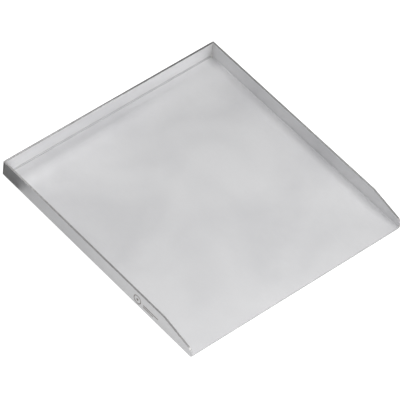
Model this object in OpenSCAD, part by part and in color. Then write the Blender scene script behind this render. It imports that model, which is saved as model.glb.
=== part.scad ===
// Griddle tray: a flat stainless-steel plate with a back wall, two side walls and an open front.
// The walls are folded up from the plate and closed by a weld seam at each back corner.
// Millimetres, +Z up, origin at the centre of the underside, +Y towards the back wall.

/* [Plate] */
// Outside width, across both side walls
tray_w = 380; // [250:5:600]
// Depth, from the open front edge to the outside of the back wall
tray_d = 400; // [250:5:600]
// Thickness of the steel sheet
sheet_t = 3; // [1.5:0.5:4]

/* [Walls] */
// Height of the rim above the underside
wall_h = 29; // [24:1:60]
// Inside radius of the folds
fold_r = 2; // [1:0.5:4]

/* [Front tips] */
// Length of the straight slope that takes a side wall down to the front
taper_len = 57; // [30:1:100]
// Height at which the slope would meet the front edge
tip_h = 15.5; // [14:0.5:20]
// Radius that rounds off the tip
tip_r = 8; // [2:1:9]

/* [Corner seams] */
// Radius that the outside of a welded corner is ground to
seam_r = 1.5; // [0.5:0.5:3]

/* [Hidden] */

$fn = 64;
eps = 1;                           // overshoot of a cutting shape
half_w = tray_w / 2;
half_d = tray_d / 2;
fold_out = fold_r + sheet_t;       // outside radius of the folds
panel_end = half_w - fold_out;     // where the flat floor ends and a side fold begins
panel_back = half_d - fold_out;    // where the flat floor ends and the back fold begins
taper_a = atan((wall_h - tip_h) / taper_len);
tip_y = tip_r - half_d;            // centre of the rounded tip
tip_z = tip_h - tip_r * (1 - sin(taper_a)) / cos(taper_a);

// Section across a wall: the flat part stands on the fold, with its outside face at x = 0
module wall_section() {
    translate([0, fold_out]) square([sheet_t, wall_h - fold_out]);
    translate([fold_out, fold_out]) intersection() {
        difference() {
            circle(fold_out);
            circle(fold_r);
        }
        translate([-fold_out, -fold_out]) square(fold_out);
    }
}

// Side view of a side wall, y to the right: level rim, slope, rounded tip, cut front end
module side_outline() {
    polygon([
        [-half_d, 0],
        [half_d, 0],
        [half_d, wall_h],
        [taper_len - half_d, wall_h],
        [tip_y - tip_r * sin(taper_a), tip_z + tip_r * cos(taper_a)],
        [tip_y, tip_z],
        [-half_d, tip_z]
    ]);
    translate([tip_y, tip_z]) circle(tip_r);
}

// Section run along +Y from the front edge to the back fold, then the flat part alone up to the seam
module side_wall() {
    intersection() {
        union() {
            translate([-half_w, panel_back, 0]) rotate([90, 0, 0])
                linear_extrude(panel_back + half_d) wall_section();
            translate([-half_w, panel_back, fold_out])
                cube([sheet_t, fold_r, wall_h - fold_out]);
        }
        translate([-half_w - eps, 0, 0]) rotate([90, 0, 90])
            linear_extrude(fold_out + 2 * eps) side_outline();
    }
}

// Weld that closes the open notch where a side fold, the back fold and both flat walls meet
module corner_weld() {
    intersection() {
        union() {
            translate([-half_w, half_d - sheet_t, fold_out])
                cube([sheet_t, sheet_t, wall_h - fold_out]);
            corner_cup();
        }
        translate([-half_w, half_d - fold_out, 0]) linear_extrude(wall_h) ground_corner();
    }
}

// Plan of the seam's outside, rounded where it has been ground
module ground_corner() {
    difference() {
        square(fold_out);
        translate([0, fold_out - seam_r]) difference() {
            translate([-eps, 0]) square([seam_r + eps, seam_r + eps]);
            translate([seam_r, 0]) circle(seam_r);
        }
    }
}

// The two folds carried on into the corner until they meet
module corner_cup() {
    difference() {
        fold_crossing(fold_out);
        fold_crossing(fold_r);
    }
}

module fold_crossing(r) {
    translate([-panel_end, panel_back, fold_out]) intersection() {
        translate([0, r + eps, 0]) rotate([90, 0, 0]) cylinder(r = r, h = 2 * r);
        translate([-r - eps, 0, 0]) rotate([0, 90, 0]) cylinder(r = r, h = 2 * r);
        translate([-r, 0, -r]) cube(r);
    }
}

module floor_panel() {
    color("gainsboro")
        translate([-panel_end, -half_d, 0])
            cube([2 * panel_end, half_d + panel_back, sheet_t]);
}

module back_wall() {
    color("silver") {
        translate([-panel_end, half_d, 0]) rotate([90, 0, 90])
            linear_extrude(2 * panel_end) mirror([1, 0]) wall_section();
        for (side = [-1, 1])
            translate([side * (panel_end + fold_r / 2), half_d - sheet_t / 2, (wall_h + fold_out) / 2])
                cube([fold_r, sheet_t, wall_h - fold_out], center = true);
    }
}

module left_wall() {
    color("lightgray") side_wall();
}

module right_wall() {
    color("darkgray") mirror([1, 0, 0]) side_wall();
}

module back_left_corner_weld() {
    color("dimgray") corner_weld();
}

module back_right_corner_weld() {
    color("dimgray") mirror([1, 0, 0]) corner_weld();
}

floor_panel();
back_wall();
left_wall();
right_wall();
back_left_corner_weld();
back_right_corner_weld();
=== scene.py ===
import math

import bmesh
import bpy
from mathutils import Matrix, Quaternion, Vector


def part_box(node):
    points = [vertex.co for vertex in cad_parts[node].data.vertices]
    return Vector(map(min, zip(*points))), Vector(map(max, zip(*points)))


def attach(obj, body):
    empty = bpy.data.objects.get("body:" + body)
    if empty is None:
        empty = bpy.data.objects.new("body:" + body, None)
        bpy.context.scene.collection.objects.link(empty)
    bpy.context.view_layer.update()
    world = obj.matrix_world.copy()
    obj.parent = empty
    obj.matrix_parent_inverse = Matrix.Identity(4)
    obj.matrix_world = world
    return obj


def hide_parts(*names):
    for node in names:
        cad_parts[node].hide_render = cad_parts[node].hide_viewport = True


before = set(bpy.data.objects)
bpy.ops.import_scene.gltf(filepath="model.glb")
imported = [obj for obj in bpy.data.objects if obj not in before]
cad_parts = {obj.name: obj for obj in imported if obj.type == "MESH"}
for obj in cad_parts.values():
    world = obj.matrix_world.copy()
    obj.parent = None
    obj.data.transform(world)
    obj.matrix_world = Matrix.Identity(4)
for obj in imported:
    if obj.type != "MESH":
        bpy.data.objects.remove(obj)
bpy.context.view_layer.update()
scene = bpy.context.scene
mm = 0.001

# the sheet's own numbers, read off the frame
floorLow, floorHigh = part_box("floor_panel")
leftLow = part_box("left_wall")[0]
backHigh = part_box("back_wall")[1]
halfW = -leftLow[0]
halfD = backHigh[1]
rimZ = backHigh[2]
sheetT = floorHigh[2]
panelEnd = floorHigh[0]     # the flat floor ends here and a side fold begins
panelBack = floorHigh[1]    # the flat floor ends here and the back fold begins
foldOut = halfW - panelEnd  # outside radius of the folds
foldIn = foldOut - sheetT
print(f"sheet {sheetT / mm:.1f} mm, folds {foldIn / mm:.1f} mm inside, rim at {rimZ / mm:.1f} mm")

noiseSpan = (0.3, 0.7)      # a noise hardly leaves this span
innerSpan = (0.35, 0.65)


def addNode(tree, kind, **settings):
    node = tree.nodes.new(kind)
    for key, value in settings.items():
        setattr(node, key, value)
    return node


def feed(tree, source, target):
    tree.links.new(source, target)


def mathNode(tree, operation, first, second=0.0, clamp=False):
    node = addNode(tree, "ShaderNodeMath", operation=operation, use_clamp=clamp)
    for socket, value in ((node.inputs[0], first), (node.inputs[1], second)):
        if isinstance(value, (int, float)):
            socket.default_value = value
        else:
            feed(tree, value, socket)
    return node.outputs[0]


# adds a mask to a value, times a share
def addShare(tree, value, mask, share):
    return mathNode(tree, "ADD", mathNode(tree, "MULTIPLY", mask, share), value)


def rampNode(tree, value, span, target=(0.0, 1.0)):
    node = addNode(tree, "ShaderNodeMapRange", interpolation_type="SMOOTHSTEP")
    feed(tree, value, node.inputs["Value"])
    node.inputs["From Min"].default_value = span[0]
    node.inputs["From Max"].default_value = span[1]
    node.inputs["To Min"].default_value = target[0]
    node.inputs["To Max"].default_value = target[1]
    return node.outputs["Result"]


def noiseNode(tree, vector, scale=1.0, detail=2.0, roughness=0.5, distortion=0.0):
    node = addNode(tree, "ShaderNodeTexNoise")
    feed(tree, vector, node.inputs["Vector"])
    node.inputs["Scale"].default_value = scale
    node.inputs["Detail"].default_value = detail
    node.inputs["Roughness"].default_value = roughness
    node.inputs["Distortion"].default_value = distortion
    return node.outputs["Fac"]


def stretchVector(tree, vector, stretch, turn=0.0):
    node = addNode(tree, "ShaderNodeMapping")
    feed(tree, vector, node.inputs["Vector"])
    node.inputs["Rotation"].default_value = (0.0, 0.0, turn)
    node.inputs["Scale"].default_value = stretch
    return node.outputs["Vector"]


def splitVector(tree, vector):
    node = addNode(tree, "ShaderNodeSeparateXYZ")
    feed(tree, vector, node.inputs["Vector"])
    return node.outputs


# mixes two colours, each of them three numbers or the output of a node
def mixColour(tree, amount, first, second):
    node = addNode(tree, "ShaderNodeMix", data_type="RGBA")
    feed(tree, amount, node.inputs[0])
    for socket, colour in ((node.inputs[6], first), (node.inputs[7], second)):
        if isinstance(colour, tuple):
            socket.default_value = (*colour, 1.0)
        else:
            feed(tree, colour, socket)
    return node.outputs[2]


# lays a colour over another where a mask says so, times a share
def layOver(tree, tone, colour, mask, share):
    return mixColour(tree, mathNode(tree, "MULTIPLY", mask, share), tone, colour)


def bumpNode(tree, height, strength, depth, below=None):
    node = addNode(tree, "ShaderNodeBump")
    node.inputs["Strength"].default_value = strength
    node.inputs["Distance"].default_value = depth
    feed(tree, height, node.inputs["Height"])
    if below:
        feed(tree, below, node.inputs["Normal"])
    return node.outputs["Normal"]


# a group that takes a vector and some named values, and gives masks or heights
def newGroup(name, outputs, **values):
    group = bpy.data.node_groups.new(name, "ShaderNodeTree")
    group.interface.new_socket("Vector", in_out="INPUT", socket_type="NodeSocketVector")
    for label, value in values.items():
        socket = group.interface.new_socket(label, in_out="INPUT", socket_type="NodeSocketFloat")
        socket.default_value = value
    for label in outputs:
        group.interface.new_socket(label, in_out="OUTPUT", socket_type="NodeSocketFloat")
    given = addNode(group, "NodeGroupInput").outputs
    result = addNode(group, "NodeGroupOutput").inputs
    return group, given, result


def placeGroup(tree, group, vector, **values):
    node = addNode(tree, "ShaderNodeGroup", node_tree=group)
    feed(tree, vector, node.inputs["Vector"])
    for label, value in values.items():
        node.inputs[label].default_value = value
    return node.outputs


# fine lines left by the rolls and the satin belt, running along the sheet
grainShape = {
    "fine": (5200, 110, 1),     # lines to the metre across and along the sheet
    "broad": (1500, 24, 1),
    "fineShare": 0.6,
}


def makeSatinGrain(shape=grainShape):
    group, given, result = newGroup("satinGrain", ["Shade", "Height"], Strength=1.0)
    fine = noiseNode(group, stretchVector(group, given["Vector"], shape["fine"]), detail=3.0, roughness=0.6)
    broad = noiseNode(group, stretchVector(group, given["Vector"], shape["broad"]))
    finePart = mathNode(group, "MULTIPLY", fine, shape["fineShare"])
    both = addShare(group, finePart, broad, 1 - shape["fineShare"])
    centred = mathNode(group, "MULTIPLY", mathNode(group, "SUBTRACT", both, 0.5), given["Strength"])
    feed(group, mathNode(group, "ADD", centred, 0.5), result["Shade"])
    feed(group, mathNode(group, "MULTIPLY", both, given["Strength"]), result["Height"])
    return group


# slow cloudy changes in how matt the sheet is
cloudShape = {"wideScale": 7.0, "mottleScale": 42.0}


def makeCloudiness(shape=cloudShape):
    group, given, result = newGroup("cloudiness", ["Wide", "Mottle"])
    wide = noiseNode(group, given["Vector"], shape["wideScale"], roughness=0.45, distortion=0.6)
    mottle = noiseNode(
        group, given["Vector"], shape["mottleScale"], detail=3.0, roughness=0.55, distortion=0.3)
    feed(group, rampNode(group, wide, noiseSpan), result["Wide"])
    feed(group, rampNode(group, mottle, noiseSpan), result["Mottle"])
    return group


# sparse thin scratches in two directions, from handling
scratchShape = {
    "runs": [(0.5, (150, 9, 60)), (-1.1, (120, 7, 60))],    # direction, then cells to the metre
    "width": 0.012,
    "patchScale": (34, 34, 34),
    "patchSpan": (0.56, 0.7),
}


def makeHandlingMarks(shape=scratchShape):
    group, given, result = newGroup("handlingMarks", ["Mask"], Amount=1.0)
    marks = []
    for turn, cellScale in shape["runs"]:
        cells = addNode(group, "ShaderNodeTexVoronoi", feature="DISTANCE_TO_EDGE")
        feed(group, stretchVector(group, given["Vector"], cellScale, turn), cells.inputs["Vector"])
        cells.inputs["Scale"].default_value = 1.0
        line = rampNode(group, cells.outputs["Distance"], (0.0, shape["width"]), (1.0, 0.0))
        wide = stretchVector(group, given["Vector"], shape["patchScale"], turn)
        gate = rampNode(group, noiseNode(group, wide, detail=1.0), shape["patchSpan"])
        marks.append(mathNode(group, "MULTIPLY", line, gate))
    both = mathNode(group, "MAXIMUM", marks[0], marks[1])
    feed(group, mathNode(group, "MULTIPLY", both, given["Amount"], clamp=True), result["Mask"])
    return group


# brighter, smoother metal where hands and pans rub the top of the walls
wearShape = {"reach": 2 * mm, "patchScale": 160.0, "patchSpan": (0.35, 0.7)}


def makeRimWear(shape=wearShape):
    group, given, result = newGroup("rimWear", ["Mask"], Reach=shape["reach"])
    below = mathNode(group, "SUBTRACT", rimZ, splitVector(group, given["Vector"])["Z"])
    closeness = mathNode(group, "SUBTRACT", 1.0, mathNode(group, "DIVIDE", below, given["Reach"]), clamp=True)
    patches = noiseNode(group, given["Vector"], shape["patchScale"], detail=3.0, roughness=0.6)
    patchy = rampNode(group, patches, shape["patchSpan"])
    feed(group, mathNode(group, "MULTIPLY", closeness, patchy, clamp=True), result["Mask"])
    return group


# where the two back corners were ground after welding, fading out along both walls
dressingShape = {"span": (4 * mm, 13 * mm), "ragged": 8 * mm, "raggedScale": 210.0}


def makeCornerDressing(shape=dressingShape):
    group, given, result = newGroup("cornerDressing", ["Mask"])
    parts = splitVector(group, given["Vector"])
    gapX = mathNode(group, "SUBTRACT", halfW, mathNode(group, "ABSOLUTE", parts["X"]))
    gapY = mathNode(group, "SUBTRACT", halfD, parts["Y"])
    gap = mathNode(group, "ADD", gapX, gapY)
    noise = noiseNode(group, given["Vector"], shape["raggedScale"], detail=3.0, roughness=0.6)
    ragged = mathNode(group, "MULTIPLY", noise, shape["ragged"])
    ground = rampNode(group, mathNode(group, "SUBTRACT", gap, ragged), shape["span"], (1.0, 0.0))
    feed(group, ground, result["Mask"])
    return group


# painted shade along the folds, found on the flat blank: faint at the sides and full at the back
paintedFoldShadeShape = {
    "sides": 0.35,
    "back": 1.0,
    "core": 0.25,               # parts of the fold's arc, from its middle
    "edge": 0.62,
    "overlap": 0.1 * mm,
}


def makePaintedFoldShade(shape=paintedFoldShadeShape):
    group, given, result = newGroup("foldBand", ["Mask"])
    parts = splitVector(group, given["Vector"])
    across = mathNode(group, "ABSOLUTE", parts["X"])
    arc = math.pi / 2 * (foldOut - sheetT / 2)
    bands = []
    for rolled, start, other, otherStart, strength in (
            (across, panelEnd, parts["Y"], panelBack, shape["sides"]),
            (parts["Y"], panelBack, across, panelEnd, shape["back"])):
        offset = mathNode(group, "ABSOLUTE", mathNode(group, "SUBTRACT", rolled, start + arc / 2))
        band = rampNode(group, offset, (arc * shape["core"], arc * shape["edge"]), (strength, 0.0))
        inside = mathNode(group, "LESS_THAN", other, otherStart + shape["overlap"])
        bands.append(mathNode(group, "MULTIPLY", band, inside))
    feed(group, mathNode(group, "MAXIMUM", bands[0], bands[1]), result["Mask"])
    return group


satinGrain = makeSatinGrain()
cloudiness = makeCloudiness()
handlingMarks = makeHandlingMarks()
rimWear = makeRimWear()
cornerDressing = makeCornerDressing()
foldBand = makePaintedFoldShade()


def newMetal(name):
    material = bpy.data.materials.new(name)
    material.use_nodes = True
    tree = material.node_tree
    tree.nodes.clear()
    shader = addNode(tree, "ShaderNodeBsdfPrincipled")
    shader.inputs["Metallic"].default_value = 1.0
    feed(tree, shader.outputs[0], addNode(tree, "ShaderNodeOutputMaterial").inputs["Surface"])
    return material, tree, shader.inputs


def objectPlace(tree):
    return addNode(tree, "ShaderNodeTexCoord").outputs["Object"]


# place on the flat blank, so that a pattern follows the sheet round its folds
def blankMap(tree):
    return addNode(tree, "ShaderNodeUVMap", uv_map="sheetUV").outputs["UV"]


satinLook = {
    "clear": (0.700, 0.700, 0.706),
    "dull": (0.630, 0.630, 0.640),
    "grain": (0.46, 0.46, 0.47),
    "grainShare": 0.2,
    "ground": (0.560, 0.556, 0.552),
    "groundShare": 0.6,
    # painted shade: a dark tone laid into the folds
    "fold": (0.36, 0.36, 0.365),
    "foldShare": 0.85,
    "worn": (0.80, 0.80, 0.81),
    "wornShare": 0.4,
    "wornReach": 2.2 * mm,
    "scratches": 0.5,
    "roughness": 0.60,
    "mottleRoughness": 0.05,
    "grainRoughness": 0.06,
    "groundRoughness": 0.08,
    "wornRoughness": -0.10,
    "scratchRoughness": -0.12,
    "waveBump": (0.25, 1.2 * mm),       # strength and depth
    "grainBump": (0.22, 0.03 * mm),
    "scratchBump": (0.2, 0.02 * mm),
}


def makeSatinSheet(look=satinLook):
    material, tree, metal = newMetal("satinSheet")
    place = objectPlace(tree)
    blank = blankMap(tree)
    grain = placeGroup(tree, satinGrain, blank, Strength=1.0)
    clouds = placeGroup(tree, cloudiness, place)
    marks = placeGroup(tree, handlingMarks, place, Amount=look["scratches"])["Mask"]
    wear = placeGroup(tree, rimWear, place, Reach=look["wornReach"])["Mask"]
    dressed = placeGroup(tree, cornerDressing, place)["Mask"]
    paintedFoldShadeMask = placeGroup(tree, foldBand, blank)["Mask"]
    tone = mixColour(tree, clouds["Wide"], look["clear"], look["dull"])
    tone = layOver(tree, tone, look["grain"], grain["Shade"], look["grainShare"])
    tone = layOver(tree, tone, look["ground"], dressed, look["groundShare"])
    # painted shade: the folds are darkened towards this tone
    tone = layOver(tree, tone, look["fold"], paintedFoldShadeMask, look["foldShare"])
    tone = layOver(tree, tone, look["worn"], wear, look["wornShare"])
    feed(tree, tone, metal["Base Color"])
    rough = addShare(tree, look["roughness"], clouds["Mottle"], look["mottleRoughness"])
    rough = addShare(tree, rough, grain["Shade"], look["grainRoughness"])
    rough = addShare(tree, rough, dressed, look["groundRoughness"])
    rough = addShare(tree, rough, wear, look["wornRoughness"])
    rough = addShare(tree, rough, marks, look["scratchRoughness"])
    feed(tree, rough, metal["Roughness"])
    bump = bumpNode(tree, clouds["Wide"], *look["waveBump"])
    bump = bumpNode(tree, grain["Height"], *look["grainBump"], below=bump)
    bump = bumpNode(tree, marks, *look["scratchBump"], below=bump)
    feed(tree, bump, metal["Normal"])
    return material


# the laser leaves fine ribs across the thickness of every cut face
cutLook = {
    "ribScale": (2600, 2600, 1),
    "dark": (0.22, 0.22, 0.225),
    "light": (0.38, 0.375, 0.37),
    "stain": (0.28, 0.27, 0.26),
    "stainShare": 0.3,
    "worn": (0.62, 0.62, 0.63),
    "wornShare": 0.15,
    "wornReach": 4 * mm,
    "roughness": (0.46, 0.58),
    "bump": (0.5, 0.08 * mm),
}


def makeCutFace(look=cutLook):
    material, tree, metal = newMetal("cutFace")
    place = objectPlace(tree)
    ribs = noiseNode(tree, stretchVector(tree, blankMap(tree), look["ribScale"]))
    clouds = placeGroup(tree, cloudiness, place)["Mottle"]
    wear = placeGroup(tree, rimWear, place, Reach=look["wornReach"])["Mask"]
    tone = mixColour(tree, rampNode(tree, ribs, noiseSpan), look["dark"], look["light"])
    tone = layOver(tree, tone, look["stain"], clouds, look["stainShare"])
    tone = layOver(tree, tone, look["worn"], wear, look["wornShare"])
    feed(tree, tone, metal["Base Color"])
    feed(tree, rampNode(tree, clouds, (0.0, 1.0), look["roughness"]), metal["Roughness"])
    feed(tree, bumpNode(tree, ribs, *look["bump"]), metal["Normal"])
    return material


# the small round on each cut edge, rubbed smooth by deburring; the cut faces that face forwards get this
# lighter finish too, as a painted highlight
edgeAndLitFrontLook = {
    "nickScale": 900.0,
    "dark": (0.46, 0.46, 0.465),
    "light": (0.58, 0.58, 0.585),
    "stain": (0.42, 0.42, 0.42),
    "stainShare": 0.2,
    "roughness": (0.40, 0.52),
    "bump": (0.15, 0.04 * mm),
}


def makeDeburredEdgeAndLitFront(look=edgeAndLitFrontLook):
    material, tree, metal = newMetal("deburredEdgeAndLitFront")
    place = objectPlace(tree)
    clouds = placeGroup(tree, cloudiness, place)["Mottle"]
    nicks = noiseNode(tree, place, look["nickScale"], roughness=0.6)
    tone = mixColour(tree, rampNode(tree, nicks, innerSpan), look["dark"], look["light"])
    tone = layOver(tree, tone, look["stain"], clouds, look["stainShare"])
    feed(tree, tone, metal["Base Color"])
    feed(tree, rampNode(tree, nicks, noiseSpan, look["roughness"]), metal["Roughness"])
    feed(tree, bumpNode(tree, nicks, *look["bump"]), metal["Normal"])
    return material


# weld metal ground flush: short belt marks round the corner and a trace of heat colour
seamLook = {
    "beltScale": (260, 260, 5200),
    "dark": (0.50, 0.497, 0.49),
    "light": (0.64, 0.637, 0.635),
    "heat": (0.60, 0.55, 0.47),
    "heatShare": 0.25,
    "worn": (0.78, 0.78, 0.79),
    "wornShare": 0.3,
    "wornReach": 2.2 * mm,
    "roughness": (0.36, 0.48),
    "bump": (0.35, 0.04 * mm),
}


def makeGroundSeam(look=seamLook):
    material, tree, metal = newMetal("groundSeam")
    place = objectPlace(tree)
    belt = noiseNode(tree, stretchVector(tree, place, look["beltScale"]), detail=3.0, roughness=0.6)
    clouds = placeGroup(tree, cloudiness, place)["Mottle"]
    wear = placeGroup(tree, rimWear, place, Reach=look["wornReach"])["Mask"]
    tone = mixColour(tree, rampNode(tree, belt, noiseSpan), look["dark"], look["light"])
    tone = layOver(tree, tone, look["heat"], clouds, look["heatShare"])
    tone = layOver(tree, tone, look["worn"], wear, look["wornShare"])
    feed(tree, tone, metal["Base Color"])
    feed(tree, rampNode(tree, belt, noiseSpan, look["roughness"]), metal["Roughness"])
    feed(tree, bumpNode(tree, belt, *look["bump"]), metal["Normal"])
    return material


# floor of the shallow engraving, burnt matt and brownish
etchLook = {
    "speckScale": 2600.0,
    "dark": (0.20, 0.18, 0.165),
    "light": (0.33, 0.30, 0.28),
    "roughness": (0.55, 0.72),
    "bump": (0.4, 0.04 * mm),
}


def makeEtchedSteel(look=etchLook):
    material, tree, metal = newMetal("etchedSteel")
    specks = noiseNode(tree, objectPlace(tree), look["speckScale"], roughness=0.6)
    tone = mixColour(tree, rampNode(tree, specks, innerSpan), look["dark"], look["light"])
    feed(tree, tone, metal["Base Color"])
    feed(tree, rampNode(tree, specks, noiseSpan, look["roughness"]), metal["Roughness"])
    feed(tree, bumpNode(tree, specks, *look["bump"]), metal["Normal"])
    return material


satinSheet = makeSatinSheet()
cutFace = makeCutFace()
deburredEdgeAndLitFront = makeDeburredEdgeAndLitFront()
groundSeam = makeGroundSeam()
etchedSteel = makeEtchedSteel()
print("materials ready")

sheetMaterials = [satinSheet, cutFace, deburredEdgeAndLitFront]
seamMaterials = [groundSeam, cutFace, deburredEdgeAndLitFront]
# the soft-edge slot holds the deburred rounds and also the forward-facing cut faces, where its lighter finish
# is a painted highlight
cutSide, softEdgeAndLitFront = 1, 2        # places in both lists; every other face keeps the first

onPlane = 0.0005 * mm           # a vertex this near a cutting plane lies on it
merge = 0.002 * mm              # vertices this close become one
mitreMerge = 0.004 * mm
same = 0.02 * mm                # two places this close count as one
facing = 0.9                    # a face with this much of its normal along an axis faces that way
sharpFrom = math.radians(38)
freeFrom = math.radians(50)     # an edge bent more than this is a cut edge


def near(value, target):
    return abs(value - target) < same


# where a point of the folded sheet lay on the flat blank: across the grain, then along it
def blankPlace(point):
    def rolledOut(distance, height):
        if distance <= 0:
            return 0.0
        if height < foldOut:
            turn = math.atan2(distance, foldOut - height)
        else:
            turn = math.pi / 2
        return turn * (foldOut - sheetT / 2) + max(0.0, height - foldOut)
    side = abs(point.x) - panelEnd
    rear = point.y - panelBack
    if side >= rear:
        across = math.copysign(min(abs(point.x), panelEnd) + rolledOut(side, point.z), point.x)
        return across, min(point.y, halfD)
    return point.x, min(point.y, panelBack) + rolledOut(rear, point.z)


def layOutSheet(bm):
    sheetUV = bm.loops.layers.uv.new("sheetUV")
    for face in bm.faces:
        for loop in face.loops:
            loop[sheetUV].uv = blankPlace(loop.vert.co)


def newObject(name, bm, materials):
    mesh = bpy.data.meshes.new(name)
    bm.to_mesh(mesh)
    bm.free()
    for material in materials:
        mesh.materials.append(material)
    made = bpy.data.objects.new(name, mesh)
    scene.collection.objects.link(made)
    return made


def finishPiece(name, bm, materials, replaced, cutter=None):
    bmesh.ops.remove_doubles(bm, verts=bm.verts, dist=merge)
    bmesh.ops.recalc_face_normals(bm, faces=bm.faces)
    layOutSheet(bm)
    for face in bm.faces:
        face.smooth = True
    piece = newObject(name, bm, materials)
    if cutter:
        engrave(piece, cutter)
    piece.data.set_sharp_from_angle(angle=sharpFrom)
    evenShade = piece.modifiers.new("evenShade", "WEIGHTED_NORMAL")
    evenShade.keep_sharp = True
    evenShade.weight = 60
    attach(piece, "root")
    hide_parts(replaced)
    print(f"{name}: {len(piece.data.polygons)} faces")


# cuts the cutter out of a piece and keeps the cutter's material on the new faces
def engrave(piece, cutter):
    cut = piece.modifiers.new("engraving", "BOOLEAN")
    cut.object = cutter
    cut.operation = "DIFFERENCE"
    cut.solver = "EXACT"
    cut.material_mode = "TRANSFER"
    graph = bpy.context.evaluated_depsgraph_get()
    engraved = bpy.data.meshes.new_from_object(piece.evaluated_get(graph), depsgraph=graph)
    piece.modifiers.remove(cut)
    plain = piece.data
    piece.data = engraved
    bpy.data.meshes.remove(plain)
    engraved.name = piece.name
    bpy.data.objects.remove(cutter)


# scores the mesh along a plane, or takes away what lies beyond it and closes the hole
def cutWith(bm, point, normal, away=False):
    everything = bm.verts[:] + bm.edges[:] + bm.faces[:]
    cut = bmesh.ops.bisect_plane(
        bm, geom=everything, dist=onPlane, plane_co=point, plane_no=normal, clear_outer=away)
    if away:
        edges = [item for item in cut["geom_cut"] if isinstance(item, bmesh.types.BMEdge)]
        bmesh.ops.holes_fill(bm, edges=edges)


# L section of a folded wall as one face: its outside stands at the left, the floor's end is at the right
def foldedSection(bm, turns):
    corners = [
        (-panelEnd, 0), (-halfW, 0), (-halfW, rimZ),
        (-halfW + sheetT, rimZ), (-halfW + sheetT, sheetT), (-panelEnd, sheetT)]
    verts = [bm.verts.new((x, 0, z)) for x, z in corners]
    bm.faces.new(verts)
    outside, inside = verts[1], verts[4]
    for vert, radius in ((outside, foldOut), (inside, foldIn)):
        bmesh.ops.bevel(
            bm, geom=[vert], affect="VERTICES", offset=radius, segments=turns, profile=0.5, material=-1)
    bmesh.ops.remove_doubles(bm, verts=bm.verts, dist=merge)


def pushOut(bm, faces, move):
    pushed = bmesh.ops.extrude_face_region(bm, geom=faces)
    verts = [item for item in pushed["geom"] if isinstance(item, bmesh.types.BMVert)]
    bmesh.ops.translate(bm, verts=verts, vec=move)
    bmesh.ops.delete(bm, geom=faces, context="FACES_ONLY")


def closeEnds(bm):
    bmesh.ops.holes_fill(bm, edges=[edge for edge in bm.edges if edge.is_boundary])
    bmesh.ops.recalc_face_normals(bm, faces=bm.faces)


# the level top of a wall is a cut face
def markRim(bm):
    for face in bm.faces:
        if face.normal.z > facing and near(face.calc_center_median().z, rimZ):
            face.material_index = cutSide


# rounds the free cut edges by a hair and leaves the edges where two pieces meet alone
def deburr(bm, shape, meets):
    bm.normal_update()
    edges = []
    for edge in bm.edges:
        if len(edge.link_faces) == 2 and edge.calc_face_angle(0) > freeFrom:
            if not any(all(near(*pair(vert.co)) for vert in edge.verts) for pair in meets):
                edges.append(edge)
    rounded = bmesh.ops.bevel(
        bm, geom=edges, affect="EDGES", offset=shape["round"], segments=shape["roundSteps"],
        profile=0.5, material=-1)
    for face in rounded["faces"]:
        face.material_index = softEdgeAndLitFront


floorShape = {"round": 0.18 * mm, "roundSteps": 3}


def makeFloorPlate(shape=floorShape):
    bm = bmesh.new()
    bmesh.ops.create_cube(bm, size=1.0)
    size = Vector(floorHigh) - Vector(floorLow)
    bmesh.ops.scale(bm, verts=bm.verts, vec=size)
    bmesh.ops.translate(bm, verts=bm.verts, vec=Vector(floorLow) + size / 2)
    bm.normal_update()
    # painted highlight: the floor's forward-facing cut face gets the lighter edge finish
    for face in bm.faces:
        if face.normal.y < -facing:
            face.material_index = softEdgeAndLitFront
    deburr(bm, shape, [
        lambda co: (co.x, panelEnd), lambda co: (co.x, -panelEnd), lambda co: (co.y, panelBack)])
    finishPiece("floorPlate", bm, sheetMaterials, "floor_panel")


backShape = {"turns": 18, "round": 0.18 * mm, "roundSteps": 3}


def makeBackWallSheet(shape=backShape):
    bm = bmesh.new()
    foldedSection(bm, shape["turns"])
    # the section is drawn for the left wall: shift its fold onto the axis, turn it and set it at the back
    bmesh.ops.translate(bm, verts=bm.verts, vec=(panelEnd, 0, 0))
    bmesh.ops.rotate(bm, verts=bm.verts, cent=(0, 0, 0), matrix=Matrix.Rotation(-math.pi / 2, 3, "Z"))
    bmesh.ops.translate(bm, verts=bm.verts, vec=(-panelEnd, panelBack, 0))
    pushOut(bm, bm.faces[:], Vector((2 * panelEnd, 0, 0)))
    closeEnds(bm)
    # above the folds the flat wall runs on to the inside of the side walls
    cutWith(bm, (0, 0, foldOut), (0, 0, 1))
    bm.normal_update()
    for side in (-1, 1):
        ends = [face for face in bm.faces
                if face.normal.x * side > facing and face.calc_center_median().z > foldOut]
        pushOut(bm, ends, Vector((side * foldIn, 0, 0)))
    bm.normal_update()
    markRim(bm)
    deburr(bm, shape, [
        lambda co: (abs(co.x), panelEnd), lambda co: (abs(co.x), panelEnd + foldIn),
        lambda co: (co.z, foldOut), lambda co: (co.y, panelBack)])
    finishPiece("backWallSheet", bm, sheetMaterials, "back_wall")


sideShape = {
    "turns": 18,
    "taperLength": 57 * mm,
    "tipHeight": 15.5 * mm,
    "tipRadius": 8 * mm,
    "tipSteps": 20,
    "litFrontFacing": 0.85,          # the part of the tip that faces forwards this much gets the lighter edge finish, as a painted highlight
    "round": 0.18 * mm,
    "roundSteps": 3,
}


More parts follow.
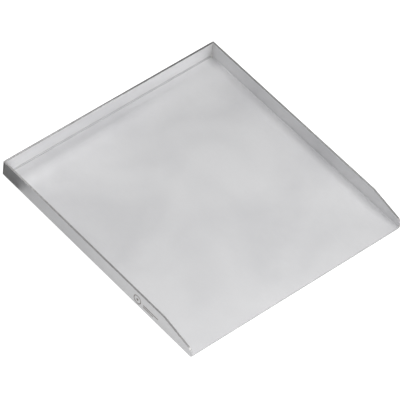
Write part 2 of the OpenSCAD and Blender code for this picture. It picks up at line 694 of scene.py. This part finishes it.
def makeLeftWallMesh(shape=sideShape):
    bm = bmesh.new()
    foldedSection(bm, shape["turns"])
    bmesh.ops.translate(bm, verts=bm.verts, vec=(0, -halfD, 0))
    pushOut(bm, bm.faces[:], Vector((0, halfD + panelBack, 0)))
    closeEnds(bm)
    # above the folds the flat wall runs on to the corner seam
    cutWith(bm, (0, 0, foldOut), (0, 0, 1))
    bm.normal_update()
    ends = [face for face in bm.faces
            if face.normal.y > facing and face.calc_center_median().z > foldOut]
    pushOut(bm, ends, Vector((0, foldIn, 0)))
    slope = math.atan((rimZ - shape["tipHeight"]) / shape["taperLength"])
    cutWith(bm, (0, -halfD, shape["tipHeight"]), (0, -math.sin(slope), math.cos(slope)), away=True)
    tip = [edge for edge in bm.edges
           if all(near(v.co.y, -halfD) and near(v.co.z, shape["tipHeight"]) for v in edge.verts)]
    reach = shape["tipRadius"] * math.tan((math.pi / 2 - slope) / 2)
    bmesh.ops.bevel(
        bm, geom=tip, affect="EDGES", offset=reach, segments=shape["tipSteps"], profile=0.5, material=-1)
    bmesh.ops.recalc_face_normals(bm, faces=bm.faces)
    markRim(bm)
    for face in bm.faces:
        middle = face.calc_center_median()
        # painted highlight: the forward-facing faces of the tip get the lighter edge finish
        if face.normal.y < -shape["litFrontFacing"]:
            face.material_index = softEdgeAndLitFront
        elif abs(face.normal.x) < 1 - facing and middle.z > foldOut and middle.y < panelBack:
            face.material_index = cutSide
    deburr(bm, shape, [
        lambda co: (co.x, -panelEnd), lambda co: (co.y, panelBack), lambda co: (co.y, panelBack + foldIn)])
    return bm


# a plain ring, a dot and two bars, engraved on the outside of the left wall near its front
markShape = {
    "ringMiddle": (-89.5 * mm, 14.6 * mm),
    "ringOutside": 7.6 * mm,
    "ringInside": 6.2 * mm,
    "dot": 2.0 * mm,
    "steps": 64,
    "bars": [                   # middle, then length and height
        ((-117.0 * mm, 13.6 * mm), (31.0 * mm, 1.8 * mm)),
        ((-112.0 * mm, 10.2 * mm), (21.0 * mm, 1.2 * mm)),
    ],
    "depth": 0.15 * mm,
    "clear": 1.0 * mm,
}


def makeMarkCutter(shape=markShape):
    bm = bmesh.new()
    for radius in (shape["ringOutside"], shape["ringInside"]):
        bmesh.ops.create_circle(bm, radius=radius, segments=shape["steps"])
    bmesh.ops.bridge_loops(bm, edges=bm.edges[:])
    bmesh.ops.create_circle(bm, radius=shape["dot"], segments=shape["steps"] // 2, cap_ends=True)
    middleY, middleZ = shape["ringMiddle"]
    for (barY, barZ), (length, height) in shape["bars"]:
        bar = bmesh.ops.create_grid(bm, x_segments=1, y_segments=1, size=0.5)["verts"]
        bmesh.ops.scale(bm, verts=bar, vec=(length, height, 1))
        bmesh.ops.translate(bm, verts=bar, vec=(barY - middleY, barZ - middleZ, 0))
    thick = bmesh.ops.extrude_face_region(bm, geom=bm.faces[:])
    raised = [item for item in thick["geom"] if isinstance(item, bmesh.types.BMVert)]
    bmesh.ops.translate(bm, verts=raised, vec=(0, 0, shape["depth"] + shape["clear"]))
    # local x runs along the wall, local y up and local z into the sheet
    bmesh.ops.transform(bm, verts=bm.verts, matrix=Matrix((
        (0, 0, 1, -halfW - shape["clear"]), (1, 0, 0, middleY), (0, 1, 0, middleZ), (0, 0, 0, 1))))
    bmesh.ops.recalc_face_normals(bm, faces=bm.faces)
    return newObject("markCutter", bm, [etchedSteel])


def makeSideWalls():
    left = makeLeftWallMesh()
    finishPiece("leftWallSheet", left, sheetMaterials, "left_wall", cutter=makeMarkCutter())
    right = makeLeftWallMesh()
    bmesh.ops.scale(right, verts=right.verts, vec=(-1, 1, 1))
    finishPiece("rightWallSheet", right, sheetMaterials, "right_wall")


seamShape = {
    "turns": 18,
    "groundRadius": 1.5 * mm,
    "groundSteps": 8,
    "round": 0.18 * mm,
    "roundSteps": 3,
}


def makeLeftSeamMesh(shape=seamShape):
    bm = bmesh.new()
    foldedSection(bm, shape["turns"])
    bmesh.ops.translate(bm, verts=bm.verts, vec=(0, panelBack, 0))
    pushOut(bm, bm.faces[:], Vector((0, foldOut, 0)))
    closeEnds(bm)
    # above the folds only the post in the corner is weld, so the rest is cut away
    cutWith(bm, (0, 0, foldOut), (0, 0, 1), away=True)
    cutWith(bm, (0, panelBack + foldIn, 0), (0, 1, 0))
    bm.normal_update()
    top = [face for face in bm.faces
           if face.normal.z > facing and near(face.calc_center_median().z, foldOut)
           and face.calc_center_median().y > panelBack + foldIn]
    pushOut(bm, top, Vector((0, 0, rimZ - foldOut)))
    # mitre the half seam and mirror it over the mitre
    corner = Vector((-panelEnd, panelBack, 0))
    across = Vector((1, 1, 0)).normalized()
    cutWith(bm, corner, across, away=True)
    mitre = [face for face in bm.faces if all(near((v.co - corner).dot(across), 0) for v in face.verts)]
    bmesh.ops.delete(bm, geom=mitre, context="FACES_ONLY")
    flip = Matrix.Translation(corner) @ Matrix(((0, -1, 0, 0), (-1, 0, 0, 0), (0, 0, 1, 0), (0, 0, 0, 1)))
    other = bmesh.ops.duplicate(bm, geom=bm.verts[:] + bm.edges[:] + bm.faces[:])
    otherVerts = [item for item in other["geom"] if isinstance(item, bmesh.types.BMVert)]
    bmesh.ops.transform(bm, matrix=flip @ Matrix.Translation(-corner), verts=otherVerts)
    bmesh.ops.remove_doubles(bm, verts=bm.verts, dist=mitreMerge)
    bmesh.ops.recalc_face_normals(bm, faces=bm.faces)
    # the outside is ground round, one flat at a time
    middle = Vector((-halfW + shape["groundRadius"], halfD - shape["groundRadius"], 0))
    for step in range(1, shape["groundSteps"]):
        turn = math.pi / 2 * step / shape["groundSteps"]
        outwards = Vector((-math.cos(turn), math.sin(turn), 0))
        cutWith(bm, middle + outwards * shape["groundRadius"], outwards, away=True)
    bm.normal_update()
    markRim(bm)
    deburr(bm, shape, [
        lambda co: (co.y, panelBack), lambda co: (co.y, panelBack + foldIn), lambda co: (co.z, foldOut),
        lambda co: (co.x, -panelEnd), lambda co: (co.x, -panelEnd - foldIn)])
    return bm


def makeCornerSeams():
    left = makeLeftSeamMesh()
    finishPiece("leftCornerSeam", left, seamMaterials, "back_left_corner_weld")
    right = makeLeftSeamMesh()
    bmesh.ops.scale(right, verts=right.verts, vec=(-1, 1, 1))
    finishPiece("rightCornerSeam", right, seamMaterials, "back_right_corner_weld")


makeFloorPlate()
makeBackWallSheet()
makeSideWalls()
makeCornerSeams()


# one value for what the camera sees and another for every other ray
def cameraSwitch(tree, others, camera):
    rays = addNode(tree, "ShaderNodeLightPath")
    pick = addNode(tree, "ShaderNodeMix", data_type="FLOAT")
    feed(tree, rays.outputs["Is Camera Ray"], pick.inputs[0])
    pick.inputs[2].default_value = others
    pick.inputs[3].default_value = camera
    return pick.outputs[0]


def plainMaterial(name, tone, roughness=0.9):
    material = bpy.data.materials.new(name)
    material.use_nodes = True
    shader = material.node_tree.nodes["Principled BSDF"]
    shader.inputs["Base Color"].default_value = (tone, tone, tone, 1)
    shader.inputs["Roughness"].default_value = roughness
    return material, material.node_tree, shader


studio = {
    "floorSize": 6.0,
    "floorGap": 0.3 * mm,
    "floorWhite": 0.92,         # as the camera sees it
    "floorGlow": 0.53,          # as the tray sees it
    "floorTone": 0.3,
    "roomGlow": 0.42,
}


# a lit white table: it glows, so the tray throws hardly any shadow on it
def makeStudioFloor(setup=studio):
    material, tree, shader = plainMaterial("studioWhite", setup["floorTone"])
    shader.inputs["Emission Color"].default_value = (1, 1, 1, 1)
    glow = cameraSwitch(tree, setup["floorGlow"], setup["floorWhite"])
    feed(tree, glow, shader.inputs["Emission Strength"])
    # seen from below it is clear, so that the underside can be looked at
    side = addNode(tree, "ShaderNodeNewGeometry")
    clear = addNode(tree, "ShaderNodeBsdfTransparent")
    pick = addNode(tree, "ShaderNodeMixShader")
    feed(tree, side.outputs["Backfacing"], pick.inputs[0])
    feed(tree, shader.outputs[0], pick.inputs[1])
    feed(tree, clear.outputs[0], pick.inputs[2])
    feed(tree, pick.outputs[0], tree.nodes["Material Output"].inputs["Surface"])
    bm = bmesh.new()
    bmesh.ops.create_grid(bm, x_segments=1, y_segments=1, size=setup["floorSize"] / 2)
    bmesh.ops.translate(bm, verts=bm.verts, vec=(0, 0, -setup["floorGap"]))
    newObject("studioFloor", bm, [material])


# a black card lying beside the back left corner, which only reflections see
flagCard = {"middle": (-0.3965, 0.365, -0.15 * mm), "width": 0.41, "depth": 0.40, "tone": 0.01}


def makeFlagCard(card=flagCard):
    material = plainMaterial("blackCard", card["tone"])[0]
    bm = bmesh.new()
    bmesh.ops.create_grid(bm, x_segments=1, y_segments=1, size=0.5)
    bmesh.ops.scale(bm, verts=bm.verts, vec=(card["width"], card["depth"], 1))
    bmesh.ops.translate(bm, verts=bm.verts, vec=card["middle"])
    flag = newObject("flagCard", bm, [material])
    flag.visible_camera = False
    flag.visible_diffuse = False
    flag.visible_shadow = False


# the camera sees a white room, and the tray is lit by a dimmer one
def makeWorld(setup=studio):
    world = bpy.data.worlds.new("studioRoom")
    world.use_nodes = True
    back = world.node_tree.nodes["Background"]
    back.inputs["Color"].default_value = (1, 1, 1, 1)
    feed(world.node_tree, cameraSwitch(world.node_tree, setup["roomGlow"], 1.0), back.inputs["Strength"])
    scene.world = world


softboxes = {
    "overRight": {"place": (0.30, 0.05, 0.50), "aim": (0.30, 0.05, 0.0), "size": 0.3, "glow": 2.5},
    "farBox": {"place": (-0.02, 0.55, 0.45), "aim": (-0.02, 0.55, 0.0), "size": 0.3, "glow": 4.3},
    "frontRight": {"place": (0.35, -1.00, 0.61), "aim": (0.0, 0.0, 0.0), "size": 0.7, "glow": 5.4},
    "nearLeft": {"place": (-0.27, -0.36, 0.42), "aim": (-0.10, 0.20, 0.0), "size": 0.5, "glow": 3.5},
}


def makeSoftboxes(boxes=softboxes):
    for name, box in boxes.items():
        light = bpy.data.lights.new(name, "AREA")
        light.shape = "SQUARE"
        light.size = box["size"]
        light.energy = box["glow"] * math.pi * box["size"] ** 2
        holder = bpy.data.objects.new(name, light)
        holder.location = box["place"]
        holder.rotation_mode = "QUATERNION"
        holder.rotation_quaternion = (Vector(box["aim"]) - Vector(box["place"])).to_track_quat("-Z", "Y")
        holder.visible_camera = False
        scene.collection.objects.link(holder)


cameraSetup = {
    "azimuth": math.radians(45.5536),
    "elevation": math.radians(49.0797),
    "roll": math.radians(6.8034),
    "distance": 5.4432,
    "slide": (-1.48 * mm, 2.02 * mm),
    "lens": 356.44,
    "sensor": 36,
    "clip": (0.05, 50),
}


def makeCamera(setup=cameraSetup):
    lens = bpy.data.cameras.new("camera")
    lens.sensor_width = setup["sensor"]
    lens.lens = setup["lens"]
    lens.clip_start, lens.clip_end = setup["clip"]
    camera = bpy.data.objects.new("camera", lens)
    flat = math.cos(setup["elevation"])
    towards = Vector((
        -math.sin(setup["azimuth"]) * flat,
        -math.cos(setup["azimuth"]) * flat,
        math.sin(setup["elevation"])))
    turn = (-towards).to_track_quat("-Z", "Y") @ Quaternion((0, 0, 1), setup["roll"])
    camera.rotation_mode = "QUATERNION"
    camera.rotation_quaternion = turn
    camera.location = towards * setup["distance"] + turn @ Vector((*setup["slide"], 0))
    scene.collection.objects.link(camera)
    scene.camera = camera


makeStudioFloor()
makeFlagCard()
makeWorld()
makeSoftboxes()
makeCamera()
scene.view_settings.view_transform = "Standard"
print("studio ready")
